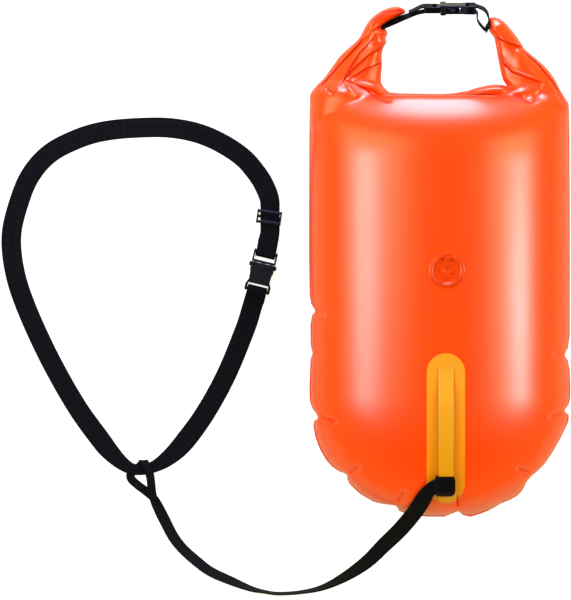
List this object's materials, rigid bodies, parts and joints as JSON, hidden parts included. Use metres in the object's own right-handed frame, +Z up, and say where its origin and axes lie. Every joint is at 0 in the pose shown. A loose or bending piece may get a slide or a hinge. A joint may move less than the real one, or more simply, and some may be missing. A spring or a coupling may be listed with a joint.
{
  "type": "open water swim buoy",
  "caption": "Inflated dry-bag swim buoy with a rolled top that buckles into a carry handle, a raised lash handle, a tether and an adjustable waist belt.",
  "frame": {"origin": "middle of the flat belly patch that the floor presses into the inflated bag, which lies on its back", "axes": "+Y from the round bottom to the rolled top, +Z up out of the front panel that bears the valve and the lash handle, +X to the right as the front is looked at"},
  "size_m": [0.7116, 0.743, 0.1829],
  "materials": {
    "orange_film": "glossy coated PVC film",
    "yellow_film": "satin PVC sheet, welded on",
    "pouch_film": "thin clear film",
    "valve_plastic": "moulded soft plastic",
    "webbing": "woven black webbing",
    "black_plastic": "moulded acetal, glossy"
  },
  "bodies": {
    "buoy": {"front_panel": "orange_film", "back_panel": "orange_film", "dry_pouch": "pouch_film", "roll_middle": "orange_film", "roll_end_left": "orange_film", "roll_end_right": "orange_film", "roll_strap_left": "webbing", "roll_strap_right": "webbing", "roll_buckle_male": "black_plastic", "roll_buckle_female": "black_plastic", "valve_flange": "valve_plastic", "handle_patch": "yellow_film", "handle_band": "yellow_film", "tether_hitch": "webbing", "tether_webbing": "webbing", "tether_eye": "webbing", "belt_webbing": "webbing", "belt_buckle_male": "black_plastic", "belt_buckle_female": "black_plastic"},
    "valve_stem": {"valve_stem": "valve_plastic"},
    "valve_plug": {"valve_plug": "valve_plastic"},
    "valve_flap": {"valve_flap": "pouch_film"},
    "belt_slider": {"belt_slider": "black_plastic"},
    "belt_buckle_prong_left": {"belt_buckle_prong_left": "black_plastic"},
    "belt_buckle_prong_right": {"belt_buckle_prong_right": "black_plastic"},
    "roll_buckle_prong_left": {"roll_buckle_prong_left": "black_plastic"},
    "roll_buckle_prong_right": {"roll_buckle_prong_right": "black_plastic"}
  },
  "joints": [
    {"name": "valve_stem_slide", "type": "slide", "parent": "buoy", "child": "valve_stem", "axis": [0, 0, 1], "range_m": [0, 0.01]},
    {"name": "valve_plug_hinge", "type": "hinge", "parent": "valve_stem", "child": "valve_plug", "pos_m": [0.0075, 0.0605, 0.1717], "axis": [-1, 0, 0], "range_deg": [0, 150]},
    {"name": "valve_flap_hinge", "type": "hinge", "parent": "valve_stem", "child": "valve_flap", "pos_m": [0.0075, 0.0323, 0.1536], "axis": [-1, 0, 0], "range_deg": [0, 40], "stiffness_Nm_per_rad": 0.002},
    {"name": "belt_slider_slide", "type": "slide", "parent": "buoy", "child": "belt_slider", "axis": [0, 1, 0], "range_m": [-0.004, 0.006]},
    {"name": "belt_prong_left_press", "type": "hinge", "parent": "buoy", "child": "belt_buckle_prong_left", "pos_m": [-0.21093, 0.05101, 0.0052], "axis": [0, 0, -1], "range_deg": [0, 15], "stiffness_Nm_per_rad": 0.02},
    {"name": "belt_prong_right_press", "type": "hinge", "parent": "buoy", "child": "belt_buckle_prong_right", "pos_m": [-0.22998, 0.05562, 0.0052], "axis": [0, 0, 1], "range_deg": [0, 15], "stiffness_Nm_per_rad": 0.02},
    {"name": "roll_prong_left_press", "type": "hinge", "parent": "buoy", "child": "roll_buckle_prong_left", "pos_m": [-0.00236, 0.37184, 0.07038], "axis": [0, -0.9877, -0.1564], "range_deg": [0, 15], "stiffness_Nm_per_rad": 0.02},
    {"name": "roll_prong_right_press", "type": "hinge", "parent": "buoy", "child": "roll_buckle_prong_right", "pos_m": [-0.00236, 0.36816, 0.09362], "axis": [0, 0.9877, 0.1564], "range_deg": [0, 15], "stiffness_Nm_per_rad": 0.02}
  ],
  "couplings": [
    {"joint": "belt_prong_right_press", "follows": "belt_prong_left_press", "ratio": 1},
    {"joint": "roll_prong_right_press", "follows": "roll_prong_left_press", "ratio": 1}
  ]
}
